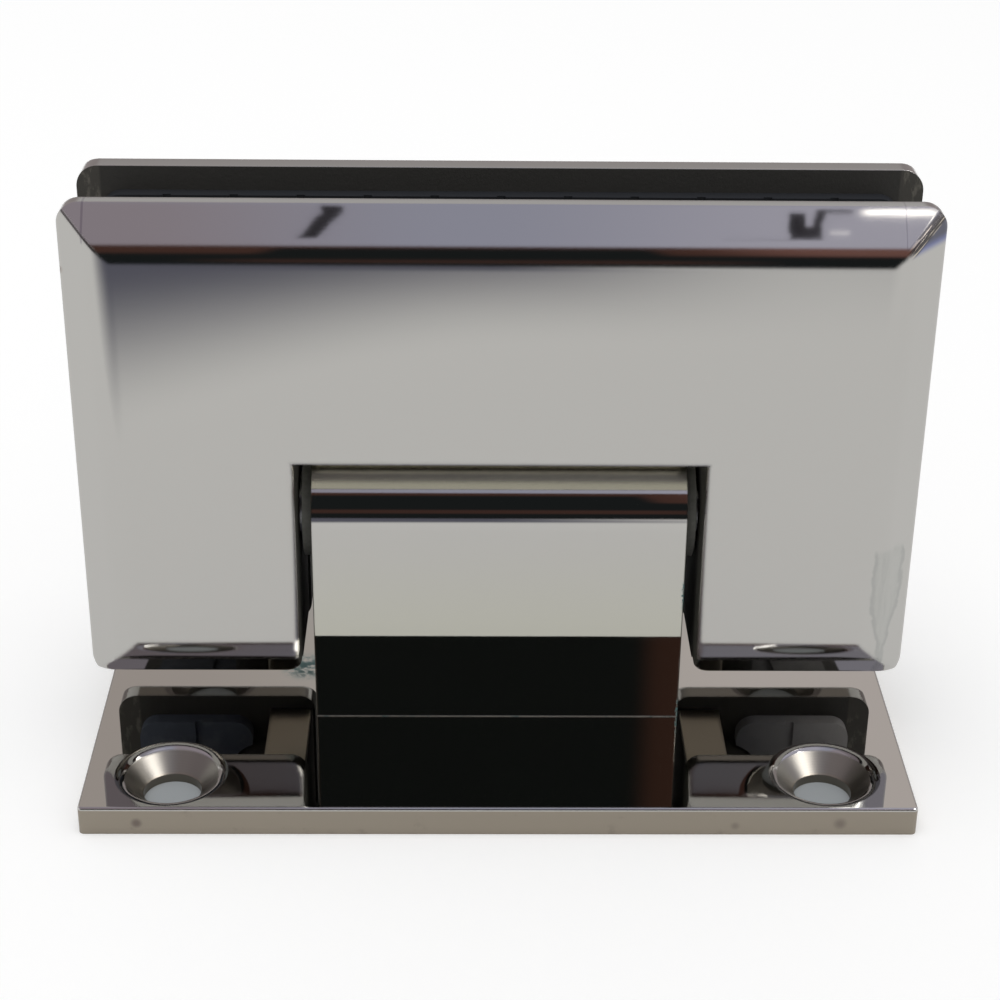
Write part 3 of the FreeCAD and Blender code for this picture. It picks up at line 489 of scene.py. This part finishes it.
worn_mitre = from_mitre.band(-0.0004, 0.0006, 0.0005) * (x + z).ramp(0.1006, 0.1022)
worn_tone = front_finish.mixed(grooves.ramp(0.54, 0.62), (0.045, 0.04, 0.04), (0.50, 0.44, 0.36))
slant = z - x * 0.2
blued = from_mitre.ramp(0.0004, 0.0009) * slant.ramp(0.0514, 0.0524)
blued_tone = front_finish.mixed(slant.ramp(0.0519, 0.0530), (0.16, 0.18, 0.34), (0.085, 0.088, 0.12))
# Painted reflection: a dark line along the left mitre stands for the dark room that its rounded edge would
# mirror.
painted_reflection_mitre = (x * -1 - z + mitre).band(-0.00008, 0.00008, 0.00014) * (z - x).ramp(0.1004, 0.1014)
brown = front_finish.streak((-0.0450, -0.0072, 0.0620), (-0.0434, -0.0085, 0.0611), 0.0003)
brown = brown.either(front_finish.streak((-0.0430, -0.0090, 0.0571), (-0.0410, -0.0103, 0.0571), 0.00035))
brown = brown.either(front_finish.near((-0.0450, -0.0072, 0.0572), 0.0006, 0.2))
hairline = x.band(-0.04228, -0.04214, 0.00009) * z.ramp(0.0606, 0.0610)
hairline = hairline.either(x.band(0.04055, 0.04063, 0.00006) * z.ramp(0.0606, 0.0610) * 0.6)
color = front_finish.mixed(crown, CHROME, FILED)
color = front_finish.mixed(ribs, color, FILED_RIB)
color = front_finish.mixed(smear * 0.3, color, (0.355, 0.365, 0.345))
color = front_finish.mixed(rim_of_smear * 0.4, color, (0.29, 0.295, 0.285))
color = front_finish.mixed(brown * 0.35, color, (0.26, 0.20, 0.16))
color = front_finish.mixed(hairline * 0.5, color, (0.20, 0.18, 0.21))
color = front_finish.mixed(blued * 0.92, color, blued_tone)
color = front_finish.mixed(worn_mitre * 0.9, color, worn_tone)
# Painted reflection: the dark line along the left mitre.
color = front_finish.mixed(painted_reflection_mitre * 0.8, color, (0.05, 0.045, 0.045))
rough = rough.either(ribs * 0.3).either(smear * (grains * 0.2 + 0.12))
rough = rough.either(worn_mitre * 0.25).either(brown * 0.2)
height = buffed(front_finish) + grooves * worn_mitre * 3
polished = chromed(front_finish, color, rough, height, edge=0.0006)
raw = cast_skin(front_finish, notch)
whole = front_finish.node("MixShader", {}, {0: cast, 1: polished, 2: raw})
dress("clamp_front", front_finish.close(whole))

rear_finish, cast, notch, crown, rough = clamp_chrome("chrome_clamp_rear")
color = rear_finish.mixed(crown, CHROME, FILED)
polished = chromed(rear_finish, color, rough, buffed(rear_finish), edge=0.0006)
raw = cast_skin(rear_finish, notch)
whole = rear_finish.node("MixShader", {}, {0: cast, 1: polished, 2: raw})
dress("clamp_rear", rear_finish.close(whole))

# Gaskets
# A sheet of blue-grey rubber lies on the inner face of each plate, with grooves across its glass
# side, and keeps the metal off the glass. Its colour carries painted shade, near black at the top of
# the gap, and painted light, paler low down and towards the right; low down it is also dusty.

gasket_finish = Finish("gasket_rubber")
grain = gasket_finish.noise(3000, 4.0, 0.6)
dust = gasket_finish.noise(320, 4.0, 0.6).ramp(0.45, 0.75)
# Painted shade and light: near black at the top of the gap, paler lower down where light reaches.
low = gasket_finish.z.ramp(0.030, 0.056, 1.0, 0.0)
# Painted light: the rubber is paler towards the right side.
painted_light_right = gasket_finish.x.ramp(0.020, 0.044)
edge_rounding_and_painted_light = gasket_finish.mixed(painted_light_right, (0.10, 0.115, 0.15), (0.46, 0.45, 0.45))
rubber = gasket_finish.mixed(low, (0.022, 0.024, 0.028), edge_rounding_and_painted_light)
# The dust shows only on the lower part, which is painted lighter.
tone = gasket_finish.mixed(dust * low * 0.5, rubber, (0.20, 0.21, 0.23))
gasket_material = gasket_finish.close(dull(gasket_finish, tone, grain))
dress("gasket_front", gasket_material)
dress("gasket_rear", gasket_material)

# Floor, cards, lamps and camera
# The hinge lies on a white sheet under a softbox. Cards that only show in polished metal stand
# round it: a dark cloth in front, a lilac ceiling over it and a pale rose wall behind.


def staged(name, across, up, material, seen):
    """Surface of straight lines along X through a profile of (y, z) points, kept off the object.
    Rays meet so large a surface often enough, so none are aimed at it, which saves time."""
    profile = np.asarray(up, float)
    columns = np.asarray(across, float)
    grid = np.empty((len(profile), len(columns), 3))
    grid[..., 0] = columns[None, :]
    grid[..., 1:] = profile[:, None, :]
    corner = np.arange(len(profile) * len(columns)).reshape(len(profile), len(columns))
    corners = [corner[:-1, :-1], corner[:-1, 1:], corner[1:, 1:], corner[1:, :-1]]
    faces = np.stack(corners, -1).reshape(-1, 4)
    mesh = bpy.data.meshes.new(name)
    mesh.from_pydata(grid.reshape(-1, 3).tolist(), [], faces.tolist())
    mesh.materials.append(material)
    material.cycles.emission_sampling = "NONE"
    card = bpy.data.objects.new(name, mesh)
    bpy.context.scene.collection.objects.link(card)
    if not seen:
        card.visible_camera = False
        card.visible_diffuse = False
        card.visible_shadow = False
        card.visible_transmission = False
    return card


def seen_directly(finish):
    """1 for rays from the camera, from polished metal and through clear things, else 0."""
    camera_ray = finish.node("LightPath", output="Is Camera Ray")
    glossy_ray = finish.node("LightPath", output="Is Glossy Ray")
    clear_ray = finish.node("LightPath", output="Is Transmission Ray")
    return camera_ray.either(glossy_ray).either(clear_ray)


floor_finish = Finish("white_sheet")
# Painted shade: under the plate the sheet is grey-blue and loses its glow, as seen through the screw
# holes.
painted_shade_under_plate = abs(floor_finish.x).ramp(0.0440, 0.0446, 1.0, 0.0)
painted_shade_under_plate = painted_shade_under_plate * abs(floor_finish.y).ramp(0.0243, 0.0249, 1.0, 0.0)
tone = floor_finish.mixed(painted_shade_under_plate, (0.86, 0.86, 0.86), (0.40, 0.425, 0.44))
sheet = floor_finish.node("BsdfDiffuse", {}, {"Color": tone})
strength = seen_directly(floor_finish) * (1 - painted_shade_under_plate) * 0.25
glow = floor_finish.node("Emission", {}, {"Color": (1, 1, 1), "Strength": strength})
floor_material = floor_finish.close(floor_finish.node("AddShader", {}, {0: sheet, 1: glow}))
staged("floor", (-4, 4), ((-4, 0), (4, 0)), floor_material, True)

CLOTH_Y = -0.40
BLACK = (0.018, 0.021, 0.022)
BLUE_SHADE = (0.012, 0.015, 0.075)
RUST = (0.10, 0.05, 0.04)
LIGHT_RUST = (0.26, 0.13, 0.11)

cloth_finish = Finish("dark_cloth")
up, across = cloth_finish.z, cloth_finish.x
ahead = cloth_finish.y * -1
shade_start = across.ramp(-0.11, 0.01, 0.106, 0.149)
shade_reach = across.ramp(-0.11, 0.0, 0.043, 0.026)
shade_depth = across.ramp(0.0, 0.06, 0.84, 0.16)
shade = ((ahead - shade_start) / shade_reach).ramp(-1, 1) * shade_depth
lying = up.ramp(0.0016, 0.003, 1.0, 0.0)
solid = shade.either(1 - lying)
aside = abs(across + 0.004) / (ahead + 0.197)
slope = (up - 0.035) / ahead
low_fold = up.band(0.074, 0.104, 0.016) * abs(across).ramp(0.05, 0.09, 1.0, 0.0)
low_fold = low_fold * slope.ramp(0.3, 0.4, 1.0, 0.0) * 0.8
top_fold = slope.ramp(0.70, 0.80)
sleeve = aside.ramp(0.092, 0.108) * slope.ramp(0.40, 0.50)
rust = cloth_finish.mixed((across / (ahead + 0.197)).ramp(0.10, 0.19), RUST, LIGHT_RUST)
tone = cloth_finish.mixed(low_fold.either(top_fold).either(sleeve), BLACK, rust)
tone = cloth_finish.mixed(lying, tone, BLUE_SHADE)
glow = cloth_finish.node("Emission", {}, {"Color": tone})
clear = cloth_finish.node("BsdfTransparent")
cloth_material = cloth_finish.close(cloth_finish.node("MixShader", {}, {0: solid, 1: clear, 2: glow}))
profile = [(-0.08, 0.0015), (CLOTH_Y, 0.0015), (CLOTH_Y, 0.0016), (CLOTH_Y, 0.20), (-1.20, 1.10)]
staged("dark_cloth", np.linspace(-0.7, 0.7, 8), profile, cloth_material, False)

# The ceiling has two dark fittings and a strip lamp, which the bevel shows.
ceiling_finish = Finish("lilac_ceiling")
x, y = ceiling_finish.x, ceiling_finish.y
tone = ceiling_finish.mixed(x.ramp(-0.27, 0.0), (0.464, 0.41, 0.471), (0.511, 0.522, 0.663))
tone = ceiling_finish.mixed(x.ramp(0.0, 0.30), tone, (0.674, 0.663, 0.80))
ragged = ceiling_finish.noise(60, 4.0, 0.75) * 0.016 - 0.008
rx, ry = x + ragged, y + ragged * 0.3
left_leg = (rx - (ry + 0.808) * 1.05 + 0.125).band(-0.007, 0.005, 0.002) * y.band(-0.808, -0.784, 0.001)
left_cap = rx.band(-0.112, -0.098, 0.003) * ry.band(-0.788, -0.782, 0.001)
right_leg = rx.band(0.247, 0.256, 0.002) * y.band(-0.804, -0.787, 0.001)
right_arm = (rx - (ry + 0.805) * 0.2).band(0.262, 0.267, 0.002) * y.band(-0.803, -0.785, 0.001)
right_foot = rx.band(0.247, 0.270, 0.002) * ry.band(-0.8045, -0.7965, 0.001)
wire = x.band(0.268, 0.292, 0.003) * y.band(-0.7855, -0.7840, 0.0006)
wire = wire.either(x.band(0.200, 0.246, 0.010) * y.band(-0.8066, -0.8056, 0.0005) * 0.6)
fitting = left_leg.either(left_cap).either(right_leg).either(right_arm).either(right_foot).either(wire)
tone = ceiling_finish.mixed(fitting * 0.97, tone, (0.02, 0.018, 0.02))
strip = x.band(0.308, 0.44, 0.012) * y.band(-0.7872, -0.7832, 0.0006)
strip = strip.either(x.band(0.278, 0.290, 0.003) * y.band(-0.8008, -0.7992, 0.0008) * 0.2)
tone = ceiling_finish.mixed(strip, tone, (4.0, 3.9, 3.8))
ceiling_material = ceiling_finish.close(ceiling_finish.node("Emission", {}, {"Color": tone}))
profile = [(-1.20, 1.10), (-0.70, 1.35), (0.0, 1.35), (0.45, 0.60)]
staged("lilac_ceiling", np.linspace(-3, 3, 7), profile, ceiling_material, False)

wall_finish = Finish("rose_wall")
rose = wall_finish.mixed(wall_finish.x.ramp(-0.11, 0.0), (0.62, 0.56, 0.53), (0.72, 0.68, 0.64))
rose = wall_finish.mixed(wall_finish.x.ramp(0.0, 0.11), rose, (0.81, 0.745, 0.72))
tone = wall_finish.mixed(wall_finish.z.ramp(0.20, 0.232), (0.38, 0.34, 0.34), (0.64, 0.63, 0.63))
tone = wall_finish.mixed(wall_finish.z.ramp(0.232, 0.275), tone, rose)
wall_material = wall_finish.close(wall_finish.node("Emission", {}, {"Color": tone}))
staged("rose_wall", np.linspace(-0.5, 0.5, 3), [(0.45, 0.0), (0.45, 0.60)], wall_material, False)


def lamp(name, place, side, radiance, on_pale=True):
    """Square lamp of this side and radiance that shines at the middle of the hinge. One that isn't
    on_pale only glints in metal, and lights nothing dull."""
    light = bpy.data.lights.new(name, "AREA")
    light.shape = "SQUARE"
    light.size = side
    light.energy = radiance * math.pi * side * side
    stand = bpy.data.objects.new(name, light)
    stand.location = place
    stand.rotation_euler = (Vector(place) - Vector((0, 0, 0.03))).to_track_quat("Z", "Y").to_euler()
    stand.visible_diffuse = on_pale
    bpy.context.scene.collection.objects.link(stand)


lamp("softbox", (-0.15, -0.1, 1.60), 1.28, 2.0)
lamp("window", (0.39, -0.20, 0.45), 0.30, 9.0, False)

room = Finish("white_room", bpy.data.worlds)
strength = seen_directly(room).ramp(0, 1, 0.55, 1.0)
air = room.node("Background", {}, {"Color": (1, 1, 1), "Strength": strength})
bpy.context.scene.world = room.close(air, "OutputWorld")
camera = bpy.data.cameras.new("camera")
camera.lens = 79.25
camera.sensor_width = 36.0
camera.clip_start = 0.01
camera_object = bpy.data.objects.new("camera", camera)
PITCH, YAW, ROLL = math.radians(27.36), math.radians(-1.11), math.radians(0.71)
turn = Matrix.Rotation(YAW, 4, "Z") @ Matrix.Rotation(math.pi / 2 - PITCH, 4, "X")
turn = turn @ Matrix.Rotation(ROLL, 4, "Z")
camera_object.matrix_world = Matrix.Translation((-0.004042, -0.2172, 0.139638)) @ turn
bpy.context.scene.collection.objects.link(camera_object)
bpy.context.scene.camera = camera_object
bpy.context.scene.view_settings.view_transform = "Standard"
